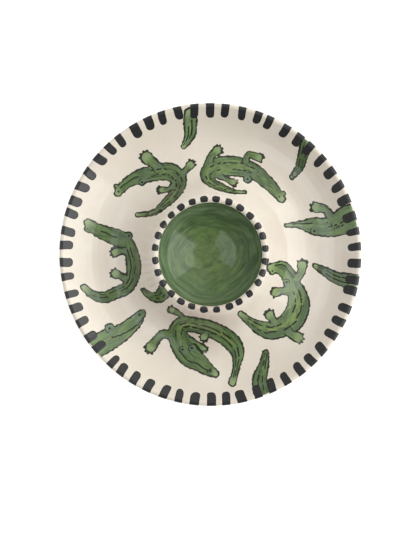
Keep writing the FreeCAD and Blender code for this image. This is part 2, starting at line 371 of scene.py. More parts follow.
def new_group(name, inputs, outputs):
    """An empty node group. inputs and outputs give the kind of each named socket."""
    group = bpy.data.node_groups.new(name, "ShaderNodeTree")
    kinds = {"value": "NodeSocketFloat", "vector": "NodeSocketVector", "colour": "NodeSocketColor"}
    for way, sockets in (("INPUT", inputs), ("OUTPUT", outputs)):
        for socket, kind in sockets.items():
            group.interface.new_socket(socket, in_out=way, socket_type=kinds[kind])
    entry = group.nodes.new("NodeGroupInput")
    leave = group.nodes.new("NodeGroupOutput")
    return group, Recipe(group), entry.outputs, leave.inputs


# Colours are linear red, green, blue and 1.
SLIP, PALE_SLIP = (0.80, 0.725, 0.615, 1), (0.865, 0.795, 0.685, 1)
BLUSH = (0.81, 0.70, 0.62, 1)
SLIP_GRAIN = (0.64, 0.56, 0.45, 1)
IRON = (0.21, 0.14, 0.09, 1)
PAINTED_SHADE = (0.60, 0.485, 0.405, 1)
PAINTED_SHADE_SPOT = (-0.012, -0.074, 0.03)     # metres: middle of a painted shadow of the bowl's rim, on the collar's near side


def cream_glaze_group():
    """Clear glaze over cream slip: clouds, a pink blush, fine grain, rare iron specks and a patch of painted
    shade.
    """
    group, r, given, out = new_group(
        "cream_slip", {"Place": "vector"}, {"Color": "colour", "Height": "value", "Roughness": "value"})
    place = given["Place"]
    clouds = r.fade(r.noise(place, 14.0, 3.0, 0.55, 0.6), 0.32, 0.7)
    body = r.mix(clouds, SLIP, PALE_SLIP)
    blush = r.fade(r.noise(place, 23.0, 2.0, 0.5, 1.2), 0.5, 0.78)
    body = r.mix(r.times(blush, 0.38), body, BLUSH)
    grain = r.fade(r.noise(place, 420.0, 2.0, 0.6), 0.35, 0.7)
    body = r.mix(r.times(grain, 0.09), body, SLIP_GRAIN)
    cells = r.node("ShaderNodeTexVoronoi", {"Vector": place, "Scale": 34.0, "Randomness": 1.0})
    chance = r.fade(r.noise(place, 11.0, 0.0), 0.63, 0.66)
    speck = r.times(r.fade(cells, 0.015, 0.035, 1.0, 0.0), chance)
    body = r.mix(r.times(speck, 0.55), body, IRON)
    # Painted shade: a darker, pinker patch on the collar's near side stands in for the bowl rim's shadow.
    away = r.node("ShaderNodeVectorMath", {0: place, 1: PAINTED_SHADE_SPOT}, out=1, operation="DISTANCE")
    body = r.mix(r.times(r.fade(away, 0.010, 0.056, 1.0, 0.0), 0.85), body, PAINTED_SHADE)
    r.link(body, out["Color"])
    ripple = r.times(r.noise(place, 30.0, 2.0, 0.5, 0.3), 0.8)
    peel = r.times(r.noise(place, 260.0, 2.0, 0.5), 0.16)
    r.link(r.plus(ripple, peel), out["Height"])
    wear = r.fade(r.noise(place, 18.0, 2.0, 0.5), 0.3, 0.75, 0.28, 0.42)
    r.link(wear, out["Roughness"])
    return group


def brush_group():
    """Streaks that a loaded brush leaves. They run where Along changes slowly."""
    group, r, given, out = new_group(
        "brush_streaks", {"Along": "vector", "Scale": "value", "Contrast": "value"}, {"Value": "value"})
    broad = r.noise(given["Along"], given["Scale"], 3.0, 0.6, 0.35)
    hairs = r.noise(given["Along"], r.times(given["Scale"], 3.3), 2.0, 0.55, 0.2)
    both = r.plus(r.times(broad, 0.68), r.times(hairs, 0.32))
    spread = r.times(r.minus(both, 0.5), given["Contrast"])
    r.link(r.math("ADD", spread, 0.5, clamp=True), out["Value"])
    return group


CREAM = cream_glaze_group()
STREAKS = brush_group()


class Finish(Recipe):
    """A material with a Principled shader and a bump.

    Under a clear coat the body keeps little gloss of its own, because light meets one glossy surface only.
    """

    def __init__(self, name, roughness=0.34, coat=1.0, coat_roughness=0.045, ior=1.5, relief=0.15):
        self.material = bpy.data.materials.new(name)
        self.material.use_nodes = True
        super().__init__(self.material.node_tree)
        self.shader = self.tree.nodes["Principled BSDF"]
        self.bump = self.tree.nodes.new("ShaderNodeBump")
        values = {"Roughness": roughness, "Coat Weight": coat, "Coat Roughness": coat_roughness, "IOR": ior,
                  "Specular IOR Level": 0.06 if coat else 0.5}
        for socket, value in values.items():
            self.shader.inputs[socket].default_value = value
        self.bump.inputs["Strength"].default_value = relief
        self.bump.inputs["Distance"].default_value = 0.001
        self.link(self.bump.outputs["Normal"], self.shader.inputs["Normal"])

    def cream(self):
        """The cream glaze under everything brushed on it, with its own wear."""
        made = self.group(CREAM, {"Place": self.place()})
        self.link(made["Roughness"], self.shader.inputs["Roughness"])
        return made["Color"], made["Height"]

    def streaks(self, along, scale, contrast):
        return self.group(STREAKS, {"Along": along, "Scale": scale, "Contrast": contrast})["Value"]

    def done(self, colour, height):
        self.link(colour, self.shader.inputs["Base Color"])
        self.link(height, self.bump.inputs["Height"])
        return self.material


def cream_finish():
    r = Finish("clear_glaze_over_cream")
    return r.done(*r.cream())


BUFF, PALE_BUFF = (0.47, 0.33, 0.22, 1), (0.58, 0.44, 0.31, 1)
SAND = (0.30, 0.20, 0.13, 1)
RUBBED_GREY = (0.33, 0.30, 0.27, 1)
RUBBED_HEIGHT = 0.0009


def clay_finish():
    """Bare fired clay: warm buff, sandy grain, and a rub of grey where it stands."""
    r = Finish("bare_clay", 0.85, 0.0, 0.1, 1.45, 0.5)
    place = r.place()
    grain = r.noise(place, 900.0, 3.0, 0.7)
    body = r.mix(r.fade(r.noise(place, 40.0, 3.0, 0.6), 0.3, 0.7), BUFF, PALE_BUFF)
    body = r.mix(r.fade(grain, 0.55, 0.75, 0.0, 0.5), body, SAND)
    height = r.split(place)[2]
    body = r.mix(r.fade(height, 0.0, RUBBED_HEIGHT, 0.6, 0.0), body, RUBBED_GREY)
    return r.done(body, grain)


def round_the_axis(r, place, radial, around):
    """A vector for streaks that run loosely round the axis, and the radius.

    It is (cos a, sin a) times around, and radial times the sum of radius, height and a drift.
    """
    x, y, z = r.split(place)
    radius = r.math("SQRT", r.plus(r.times(x, x), r.times(y, y)))
    safe = r.larger(radius, 0.0005)
    cosine = r.times(r.math("DIVIDE", x, safe), around)
    sine = r.times(r.math("DIVIDE", y, safe), around)
    drift = r.times(r.minus(r.noise(place, 20.0, 1.0), 0.5), 0.035)
    reach = r.times(r.plus(r.plus(radius, z), drift), radial)
    return r.vector(cosine, sine, reach), radius


DARK_GREEN, LIGHT_GREEN = (0.042, 0.096, 0.028, 1), (0.155, 0.250, 0.080, 1)
WALL_GREEN, PALE_WALL_GREEN = (0.100, 0.165, 0.080, 1), (0.250, 0.330, 0.190, 1)
MIDDLE_GREEN = (0.17, 0.245, 0.06, 1)
EDGE_GREEN = (0.022, 0.055, 0.014, 1)
POOL_GREEN = (0.034, 0.078, 0.026, 1)
STROKE_GREEN = (0.24, 0.33, 0.13, 1)


def lining_finish():
    """Green glaze brushed round the bowl as it turned: thick dark pools between thin light strokes."""
    r = Finish("green_glaze", 0.32, 1.0, 0.02, 1.5, 0.12)
    place = r.place()
    swirl, radius = round_the_axis(r, place, 95.0, 1.1)
    streaks = r.streaks(swirl, 1.25, 3.4)
    crossing = r.streaks(place, 38.0, 1.8)
    body = r.mix(streaks, DARK_GREEN, LIGHT_GREEN)
    thin = r.mix(streaks, WALL_GREEN, PALE_WALL_GREEN)
    body = r.mix(r.fade(radius, 0.044, 0.0515), body, thin)
    middle = r.fade(radius, 0.012, 0.042, 1.0, 0.0)
    body = r.mix(r.times(middle, r.times(crossing, 0.75)), body, MIDDLE_GREEN)
    body = r.mix(r.fade(r.mark("edge"), 0.2, 1.8, 0.75, 0.0), body, EDGE_GREEN)
    pools = r.fade(r.noise(swirl, 0.55, 2.0, 0.5, 1.4), 0.5, 0.6, 0.0, 0.42)
    body = r.mix(pools, body, POOL_GREEN)
    pale = r.fade(r.noise(swirl, 2.6, 3.0, 0.6, 0.8), 0.6, 0.74, 0.0, 0.42)
    body = r.mix(pale, body, STROKE_GREEN)
    return r.done(body, r.plus(streaks, r.times(crossing, 0.5)))


THICK_BLACK, THIN_BLACK = (0.0075, 0.0075, 0.007, 1), (0.021, 0.023, 0.025, 1)
BROWN_BLACK = (0.045, 0.034, 0.024, 1)


def black_finish():
    """Black underglaze: slate grey where the brush ran thin in the middle, brown-black at the edges."""
    r = Finish("black_underglaze", 0.4, 1.0, 0.05, 1.5, 0.2)
    edge = r.mark("edge")
    stroke = r.vector(r.times(r.mark("across"), 0.9), r.times(r.mark("along"), 0.16), r.mark("tone"))
    thin = r.streaks(stroke, 1.5, 2.4)
    middle = r.times(r.fade(edge, 0.35, 1.7), r.plus(r.times(thin, 0.75), 0.25))
    body = r.mix(middle, THICK_BLACK, THIN_BLACK)
    body = r.mix(r.fade(edge, -0.05, 0.3, 0.5, 0.0), body, BROWN_BLACK)
    return r.done(body, thin)


THICK_WASH, THIN_WASH = (0.068, 0.132, 0.036, 1), (0.205, 0.320, 0.098, 1)
STREAK_GREEN = (0.026, 0.075, 0.012, 1)
DEEP_WASH, FADED_WASH = (0.030, 0.078, 0.020, 1), (0.22, 0.31, 0.185, 1)
RIDGE_YELLOW = (0.27, 0.36, 0.085, 1)
JOINT_GREY = (0.13, 0.19, 0.145, 1)
TIP_GREEN = (0.31, 0.42, 0.19, 1)
INK = (0.008, 0.013, 0.006, 1)


def green_wash(r, place, stroke, streaks):
    """The colour of the washes: loads of the brush, streaks, a yellow ridge, grey joints and pale tips."""
    loads = r.fade(r.noise(stroke, 1.0, 2.0, 0.5, 0.5), 0.41, 0.59)
    green = r.mix(loads, THICK_WASH, THIN_WASH)
    green = r.mix(streaks, r.mix(0.75, green, STREAK_GREEN), green)
    deep = r.mark("deep")
    green = r.mix(r.larger(deep, 0.0), green, DEEP_WASH)
    green = r.mix(r.larger(r.times(deep, -1.0), 0.0), green, FADED_WASH)
    light = r.times(r.mark("ridge"), r.fade(streaks, 0.25, 0.75))
    green = r.mix(r.times(light, 0.9), green, RIDGE_YELLOW)
    cool = r.times(r.mark("shade"), r.fade(r.noise(place, 160.0, 2.0), 0.3, 0.65))
    green = r.mix(r.times(cool, 0.8), green, JOINT_GREY)
    return r.mix(r.times(r.mark("tip"), 0.85), green, TIP_GREEN)


def ink_lines(r, place, edge, wobble):
    """How dark the ink is: a broken outline along edge, and the lines that the ink mark draws."""
    line = r.math("ABSOLUTE", r.plus(r.plus(edge, 0.35), r.times(wobble, 0.8)))
    pressure = r.fade(r.noise(place, 75.0, 2.0, 0.6), 0.34, 0.6, 0.44, 0.92)
    outline = r.fade(r.minus(line, pressure), -0.05, 0.25, 1.0, 0.0)
    lifted = r.fade(r.noise(place, 130.0, 1.0), 0.26, 0.36, 0.5, 1.0)
    strokes = r.fade(r.plus(r.mark("ink"), r.times(wobble, 0.6)), 0.0, 0.35, 1.0, 0.0)
    return r.larger(r.times(outline, lifted), strokes)


def crocodile_finish():
    """Green washes that stray a little over their outline, and broken dark ink, on the cream glaze."""
    r = Finish("crocodile_brushwork")
    place, edge = r.place(), r.mark("edge")
    cream_colour, cream_height = r.cream()
    stroke = r.vector(r.times(r.mark("along"), 0.045), r.times(r.mark("across"), 0.24), r.mark("tone"))
    streaks = r.streaks(stroke, 2.6, 3.6)
    wobble = r.minus(r.noise(place, 330.0, 2.0, 0.6), 0.5)
    drift = r.minus(r.noise(place, 90.0, 1.0), 0.5)
    loose = r.plus(edge, r.plus(r.times(wobble, 0.9), r.times(drift, 1.3)))
    wash = r.fade(loose, -0.35, 0.1, 1.0, 0.0)
    body = r.mix(r.times(wash, 0.97), cream_colour, green_wash(r, place, stroke, streaks))
    body = r.mix(r.times(ink_lines(r, place, edge, wobble), 0.97), body, INK)
    return r.done(body, r.plus(cream_height, r.times(r.times(streaks, wash), 0.3)))


cream = cream_finish()
clay = clay_finish()
green = lining_finish()
black = black_finish()
brushwork = crocodile_finish()


# ---------------------------------------------------------------- the thrown clay
def closed_rings(rows, steps):
    """Faces of a surface swept round the axis from a closed section of so many rows."""
    return woven(rows + 1, steps, ring=True) % (rows * steps)


def thrown_piece(name, node, line, steps, closed, look):
    """A profile swept round the axis: (r cos a, r sin a, z) for each of its points and steps angles a.

    A closed profile's last point joins its first; any other starts and ends on the axis.
    """
    turn = np.arange(steps) * 2 * math.pi / steps
    radius, height = line[:, 0, None], line[:, 1, None]
    shape = np.stack(np.broadcast_arrays(radius * np.cos(turn), radius * np.sin(turn), height), -1)
    faces = (closed_rings(len(line), steps) if closed
             else woven(len(line), steps, ring=True, start_point=True, end_point=True))
    piece(name, [node], shape.reshape(-1, 3), faces, look)


def dish():
    """Collar, trough and lip: one even wall with a round edge, open in the middle for the bowl."""
    seam = straight((SEAM_R, SEAT_Z), (SEAM_R + SEAM_LAP, collar_height(SEAM_R + SEAM_LAP, 0)), 2)
    under = trough(DISH_WALL, 28)[::-1]
    bore = straight((SPIGOT_R, SPIGOT_Z), (SPIGOT_R, SEAT_Z), 3)
    line = divided(joined(seam, trough(0, 42), lip(18), under, bore), 1.5)
    thrown_piece("dish_body", "dish", line, 420, True, cream)


def dip_bowl():
    """The small bowl: inside, rolled rim, skirt down the collar, and the outside under the dish."""
    skirt = straight((SEAM_R - SEAM_LAP, collar_height(SEAM_R - SEAM_LAP, 0)), (SEAM_R, SEAT_Z), 2)
    seat = straight((SEAM_R, SEAT_Z), (SPIGOT_R, SEAT_Z), 3)
    outside = bowl_inside(BOWL_WALL, 26)[::-1]
    outside = outside[outside[:, 1] < SEAT_Z]
    line = divided(joined(bowl_inside(0, 26), rolled_rim(20), skirt, seat, outside), 2.0)
    thrown_piece("dip_bowl_body", "dip_bowl", line, 420, False, cream)


def foot_ring():
    """The ring it stands on, trimmed on the wheel, with its lower edges rounded and its top in the dish."""
    inner, outer = FOOT_R - FOOT_WIDTH / 2, FOOT_R + FOOT_WIDTH / 2
    left = arc(inner + FOOT_ROUNDING, FOOT_ROUNDING, FOOT_ROUNDING, 180, 270, 9)
    right = arc(outer - FOOT_ROUNDING, FOOT_ROUNDING, FOOT_ROUNDING, 270, 360, 9)
    top_z = TROUGH_Z - DISH_WALL + FOOT_BITE
    base = straight(left[-1], right[0], 6)
    outside = straight(right[-1], (outer, top_z), 6)
    inside = straight((inner, top_z), left[0], 6)
    line = joined(left, base, right, outside, inside)[:-1]
    thrown_piece("foot_ring_clay", "foot_ring", line, 360, True, clay)


def luting_coil():
    """A coil pressed by hand into the corner behind the seam.

    Its section is a circle whose radius swells and thins with the angle a round the ring, as
    1 + 0.06 sin 23a + 0.05 sin(37a + 1).
    """
    steps, around = 300, 22
    turn = np.arange(steps) * 2 * math.pi / steps
    section = np.arange(around)[:, None] * 2 * math.pi / around
    size = COIL * 0.97 * (1 + 0.06 * np.sin(23 * turn) + 0.05 * np.sin(37 * turn + 1))
    radius = SPIGOT_R + size * np.cos(section)
    height = SPIGOT_Z + size * np.sin(section)
    shape = np.stack([radius * np.cos(turn), radius * np.sin(turn), height], -1)
    faces = closed_rings(around, steps)
    piece("luting_coil_clay", ["luting_coil"], shape.reshape(-1, 3), faces, clay)


# ---------------------------------------------------------------- the coats
def coat(name, node, s, turn, lift, faces, border, marks, look, slot, crease=38):
    """A thin closed coat laid on the clay, at distance s along the glaze line and turned round the axis.

    Its top is lift above the clay. The same faces, turned over, are buried in the clay and share the
    border's vertices. Each mark is a number per vertex.
    """
    shape = np.broadcast_shapes(*map(np.shape, (s, turn, lift)))
    top = laid(s, turn, lift).reshape(-1, 3)
    under = laid(s, turn, BURIED).reshape(-1, 3)
    border = np.broadcast_to(border, shape).ravel()
    below = np.arange(len(top))
    below[~border] = len(top) + np.arange(np.count_nonzero(~border))
    points = np.concatenate([top, under[~border]])
    faces = np.concatenate([faces, below[faces][:, ::-1]])
    flat = {mark: np.broadcast_to(values, shape).ravel() for mark, values in marks.items()}
    marks = {mark: np.concatenate([values, values[~border]]) for mark, values in flat.items()}
    piece(name, [node], points, faces, look, marks, crease)


def copies(faces, count, size):
    """The faces of count copies of one grid whose vertices follow each other, size to a copy."""
    return (faces[None] + (np.arange(count) * size)[:, None, None]).reshape(-1, 4)


def bowl_lining():
    """Green glaze from the bowl's middle to a wavering edge just over the start of the rolled rim."""
    rows, columns = 110, 420
    turn = np.arange(columns) * 2 * math.pi / columns
    waver = 0.35 * np.sin(5 * turn + 1) + 0.25 * np.sin(13 * turn + 2) + 0.12 * np.sin(29 * turn)
    end = CREST_S - ROLL * math.pi / 2 + LINING_PAST_WALL + waver
    s = np.linspace(0, 1, rows)[:, None] ** 0.9 * end
    gap = end - s
    lift = LINING_LIFT * ramp(gap, 0, 0.9) ** 0.5 - LINING_SINK
    border = (np.arange(rows) == rows - 1)[:, None]
    faces = woven(rows, columns, ring=True, start_point=True)
    coat("bowl_lining_glaze", "bowl_lining", s, turn, lift, faces, border, {"edge": gap}, green,
         "green_glaze")


def black_lift(gap):
    """How high black stands, gap from its edge."""
    return BLACK_LIFT * ramp(gap, 0, 0.7) ** 0.6 - BLACK_SINK


def black_coat(name, node, s, turn, gap, faces, border, along, across):
    """A coat of many strokes, each with its own place in the brush's streaks."""
    marks = {"edge": gap, "along": along, "across": across, "tone": rng.uniform(0, 20, (len(s), 1, 1))}
    coat(name, node, s, turn, black_lift(gap), faces, border, marks, black, "black_paint")


def rim_dots():
    """28 dabs of a square-tipped brush on the rolled rim.

    A dab's edge at angle q is the superellipse |cos q / a| ^ n + |sin q / b| ^ n = 1, with its own a, b, n
    and tilt, and a small waver; rings shrink from it to the middle.
    """
    count, rings, around = 28, 8, 30
    own = (count, 1, 1)
    place = (np.arange(count) + 0.5) * 2 * math.pi / count
    place = (place + rng.normal(0, 0.012, count)).reshape(own)
    half_along = rng.normal(4.35, 0.2, own)
    half_round = rng.normal(4.1, 0.26, own)
    power = rng.uniform(2.3, 3.6, own)
    tilt = rng.normal(0, 0.16, own)
    share = np.linspace(0, 1, rings)[None, :, None]
    q = np.arange(around) * 2 * math.pi / around
    reach = (np.abs(np.cos(q)) ** power + np.abs(np.sin(q)) ** power) ** (-1 / power)
    waver = 1 + 0.035 * np.sin(3 * q + rng.uniform(0, 6, own))
    waver = waver + 0.02 * np.sin(7 * q + rng.uniform(0, 6, own))
    along = share * reach * waver * half_along * np.cos(q + tilt)
    across = share * reach * waver * half_round * np.sin(q + tilt)
    s = CREST_S + 0.15 + rng.normal(0, 0.2, own) + along
    turn = place + across / GLAZE[CREST, 0]
    gap = (1 - share) * 3.8 * np.ones_like(s)
    faces = copies(woven(rings, around, ring=True, start_point=True), count, rings * around)
    black_coat("rim_dots_black", "bowl_rim_dots", s, turn, gap, faces, share == 1, along, across)


def rim_dashes():
    """58 strokes pulled outwards over the lip.

    Half width at share v of the length is w (1 - (1 - v / 0.26) ^ n) ^ (1 / n) up to v = 0.26, a round
    inner end, then w with its own taper and waver; each leans a little.
    """
    count, rows, columns = 58, 26, 13
    own = (count, 1, 1)
    place = ((np.arange(count) + 0.5) * 2 * math.pi / count + rng.normal(0, 0.009, count)).reshape(own)
    start = s_at(DASH_START_R) + rng.normal(0, 0.55, own)
    length = GLAZE_S[WIDEST] + DASH_PAST_EDGE + rng.normal(0, 0.5, own) - start
    half = rng.normal(4.75, 0.28, own)
    lean = rng.normal(0, 0.055, own)
    taper = rng.normal(0.02, 0.06, own)
    power = rng.uniform(1.9, 2.9, own)
    v = (np.linspace(0, 1, rows) ** 1.25)[None, :, None]
    u = np.linspace(-1, 1, columns)
    round_end = np.clip(1 - np.clip(1 - v / 0.26, 0, 1) ** power, 0, 1) ** (1 / power)
    waver = 1 + 0.03 * np.sin(9 * v + rng.uniform(0, 6, own)) * np.sign(u)
    wide = half * (1 + taper * (1 - v)) * round_end * waver
    along, across = length * v, u * wide
    shift = lean * length * (v - 0.5) + 0.3 * np.sin(4 * v + rng.uniform(0, 6, own))
    turn = place + (across + shift) / (DISH_RADIUS - 5)
    gap = np.minimum(wide * (1 - np.abs(u)), along * 0.9)
    gap = np.minimum(gap, length - along)
    border = np.isin(np.arange(rows), (0, rows - 1))[:, None] | (np.abs(u) == 1)
    faces = copies(woven(rows, columns, start_point=True), count, rows * columns)
    black_coat("rim_dashes_black", "rim_dashes", start + along, turn, gap, faces, border, along, across)


# ---------------------------------------------------------------- the crocodiles
def polar(marks):
    """(x, y, half width) of marks given as degrees round from X, radius, half width."""
    marks = np.asarray(marks, float)
    turn = np.radians(marks[:, 0])
    return np.column_stack([marks[:, 1] * np.cos(turn), marks[:, 1] * np.sin(turn), marks[:, 2]])


def smooth(marks, per_span=16):
    """Catmull-Rom cubics through the marks: per_span points between each two."""
    p = np.concatenate([2 * marks[:1] - marks[1:2], marks, 2 * marks[-1:] - marks[-2:-1]])
    a, b, c, d = (p[k:len(p) - 3 + k][:, None] for k in range(4))
    t = (np.arange(per_span) / per_span)[None, :, None]
    cubic = (2 * b + (c - a) * t + (2 * a - 5 * b + 4 * c - d) * t ** 2
             + (3 * b - a - 3 * c + d) * t ** 3) / 2
    return np.concatenate([cubic.reshape(-1, marks.shape[1]), marks[-1:]])


def lengths(line):
    """How far each point lies along a line."""
    return np.concatenate([[0], np.cumsum(np.hypot(*np.diff(line[:, :2], axis=0).T))])


def sides(line):
    """Unit vectors to the left of a line at each of its points."""
    step = np.gradient(line[:, :2], axis=0)
    step /= np.maximum(np.hypot(*step.T), 1e-9)[:, None]
    return np.column_stack([-step[:, 1], step[:, 0]])


def near(x, y, line):
    """For each point: distance outside the line's width, how far along it lies, and how far to its left."""
    dx = x[:, None] - line[None, :, 0]
    dy = y[:, None] - line[None, :, 1]
    gap = np.hypot(dx, dy) - line[None, :, 2]
    best = gap.argmin(1)
    pick = np.arange(len(x))
    left = sides(line)[best]
    across = dx[pick, best] * left[:, 0] + dy[pick, best] * left[:, 1]
    return gap[pick, best], lengths(line)[best], across


def soft_min(a, b, blend):
    """The smaller of a and b, with the corner between them rounded over about blend."""
    h = np.clip(0.5 + 0.5 * (b - a) / blend, 0, 1)
    return b * (1 - h) + a * h - blend * h * (1 - h)


def outside_strokes(x, y, strokes):
    """Distance outside the nearest of many short strokes, each (x0, y0, x1, y1, half width)."""
    ax, ay, bx, by, half = strokes.T
    ux, uy = bx - ax, by - ay
    long = np.maximum(ux ** 2 + uy ** 2, 1e-9)
    dx, dy = x[:, None] - ax, y[:, None] - ay
    t = np.clip((dx * ux + dy * uy) / long, 0, 1)
    return (np.hypot(dx - t * ux, dy - t * uy) - half).min(1)


def beside(line, share, offset):
    """Points beside a line: at shares of its length, offset in half widths to the left."""
    run = lengths(line)
    place = share * run[-1]
    side = sides(line)
    centre = np.column_stack([np.interp(place, run, line[:, k]) for k in range(3)])
    out = np.column_stack([np.interp(place, run, side[:, k]) for k in range(2)])
    return centre[:, :2] + out * (centre[:, 2] * offset)[:, None]


def back_marks(line, first, last, offsets, dash, draw):
    """Rows of dashes down the back, about dash long, broken where the brush lifted."""
    total = lengths(line)[-1]
    strokes = []
    for offset in offsets:
        starts = np.arange(first * total, last * total - 3, dash + 3.1) + draw.uniform(-1.2, 1.2)
        starts = starts + draw.normal(0, 0.5, len(starts))
        long = np.clip(draw.normal(dash, 0.3 * dash, len(starts)), 0.8, dash + 2.1)
        waver = offset + draw.normal(0, 0.045, len(starts))
        near_end = beside(line, starts / total, waver)
        far_end = beside(line, (starts + long) / total, waver + draw.normal(0, 0.03, len(starts)))
        kept = draw.uniform(size=len(starts)) > 0.12
        room = np.clip(np.interp(starts, lengths(line), line[:, 2]) / 8, 0.5, 1)
        half = room * draw.uniform(0.45, 0.85, len(starts))
        strokes.append(np.column_stack([near_end, far_end, half])[kept])
    return np.concatenate(strokes)


def mouth_line(line, first, last, start_offset, end_offset, seed):
    """A jaw drawn as one thin line, wavering a little, from the snout back."""
    share = np.linspace(first, last, 14)
    drift = np.linspace(start_offset, end_offset, 14) + 0.05 * np.sin(share * 60 + seed)
    points = beside(line, share, drift)
    return np.column_stack([points[:-1], points[1:], np.full(len(points) - 1, JAW_HALF)])


def limb_line(marks, half):
    """A leg through marks of (degrees round, radius): wide at its ends and thinner between them."""
    limb = smooth(polar([(angle, radius, 1.0) for angle, radius in marks]), 12)
    share = lengths(limb) / lengths(limb)[-1]
    limb[:, 2] = half * np.interp(share, (0.0, 0.45, 0.8, 1.0), (1.1, 0.8, 0.95, 1.12))
    return limb


def paw(leg, draw):
    """Toes that fan from a leg's end, and the short claws on them."""
    end, before = leg[-1], leg[-6]
    ahead = math.atan2(end[1] - before[1], end[0] - before[0])
    fan = ahead + np.radians(np.array([-58, -22, 14, 50]) + draw.normal(0, 5, 4))
    way = np.column_stack([np.cos(fan), np.sin(fan)])
    base = end[:2] + way * end[2] * 0.55
    toe = end[:2] + way * (end[2] + 0.5)
    root = end[:2] + way * (end[2] + 0.6)
    claw = end[:2] + way * (end[2] + 1.7 + draw.uniform(-0.3, 0.4, (4, 1)))
    return (np.column_stack([base, toe, np.full(4, TOE_HALF)]),
            np.column_stack([root, claw, np.full(4, CLAW_HALF)]))


class Drawing:
    """One crocodile as fields over the plane, worked out at the points (x, y).

    edge is the distance outside its outline and ink the distance outside its drawn lines. along and across
    run with the brush. ridge, tip and shade say how much yellow, pale and grey the wash holds.
    """

    def __init__(self, x, y, body, yellow, pale, seed):
        self.x, self.y, self.body = x, y, body
        self.pen = np.random.default_rng(seed + 2)
        self.total = lengths(body)[-1]
        self.gap, self.along, self.across = near(x, y, body)
        self.edge = self.gap
        self.ink = np.full_like(x, FAR)
        self.shade = np.zeros_like(x)
        self.strokes = []
        share = self.along / self.total
        wide = np.interp(self.along, lengths(body), body[:, 2])
        ridge = peak(self.across / wide + 0.05, 0.34) ** 0.7
        self.ridge = yellow * ridge * ramp(share, 0.2, 0.32) * ramp(share, 0.98, 0.88)
        self.tip = np.zeros_like(x)
        for end, reach in ((0.0, 7.0), (1.0, 10.0)):
            if end in pale:
                self.tip = np.maximum(self.tip, peak(self.along - end * self.total, reach))

    def away(self, angle, radius):
        """Distance from a mark, and the mark's own place."""
        cx, cy = polar([(angle, radius, 1)])[0, :2]
        return np.hypot(self.x - cx, self.y - cy), cx, cy

    def draw_line(self, distance, where=True):
        self.ink = np.minimum(self.ink, np.where(where, distance, FAR))

    def add_leg(self, limb):
        """Joins on a leg with its foot, and inks its sides where it crosses the body."""
        gap, along, across = near(self.x, self.y, limb)
        long = lengths(limb)[-1]
        toes, claws = paw(limb, self.pen)
        foot = soft_min(gap, outside_strokes(self.x, self.y, toes), 0.8)
        own = gap < self.gap
        self.along = np.where(own, along + LEG_STREAKS, self.along)
        self.across = np.where(own, across, self.across)
        self.ridge = np.where(own, 0.35 * peak(across, 2.5), self.ridge)
        self.tip = np.maximum(self.tip, 0.75 * peak(along - long, 4.5) * (foot < 1))
        self.shade = np.maximum(self.shade, 0.8 * peak(along - 0.35 * long, 6) * (gap < 0.5))
        self.edge = soft_min(self.edge, foot, 1.2)
        self.draw_line(np.abs(gap + 0.2) - 0.38, (self.gap < -0.6) & (along > 0.12 * long))
        self.strokes.append(claws)

    def add_eye(self, angle, radius, size):
        """A brow that stands out of the head, part of a ring round it, and a pupil."""
        away, cx, cy = self.away(angle, radius)
        self.edge = soft_min(self.edge, away - size, 1.5)
        self.shade = np.maximum(self.shade, np.clip(1.3 - away / (size * 1.3), 0, 1))
        middle = self.body[:, :2].mean(0)
        opening = np.arctan2(cy - middle[1], cx - middle[0]) + self.pen.uniform(-0.6, 0.6)
        ahead = np.cos(np.arctan2(self.y - cy, self.x - cx) - opening) > 0.15
        self.draw_line(np.abs(away - size * 0.9) - 0.3, ahead)
        self.draw_line(away - PUPIL)

    def add_lump(self, angle, radius, size):
        self.edge = soft_min(self.edge, self.away(angle, radius)[0] - size, 1.0)

    def add_spot(self, angle, radius, size):
        self.draw_line(self.away(angle, radius)[0] - size)

    def marks(self, seed):
        """The fields by name, with a grey neck and a hand's waver in the outline."""
        x, y = self.x, self.y
        neck = 0.55 * peak(self.along / self.total - 0.27, 0.05) * (self.gap < 0)
        if self.strokes:
            self.draw_line(outside_strokes(x, y, np.concatenate(self.strokes)))
        waver = (0.22 * np.sin(x * 0.9 + 1.7 * np.sin(y * 0.5 + seed))
                 + 0.18 * np.sin(y * 1.3 + x * 0.4 + seed))
        return {"edge": self.edge + waver, "ink": self.ink, "along": self.along, "across": self.across,
                "ridge": self.ridge, "tip": self.tip, "shade": np.maximum(self.shade, neck)}


def without_slivers(cells, count):
    """The cells that keep an inner corner, and the border. A coat's two sides then never share all four."""
    while True:
        uses = np.bincount(cells.ravel(), minlength=count)
        border = (uses > 0) & (uses < 4)
        sliver = border[cells].all(1)
        if not sliver.any():
            return cells, border
        cells = cells[~sliver]


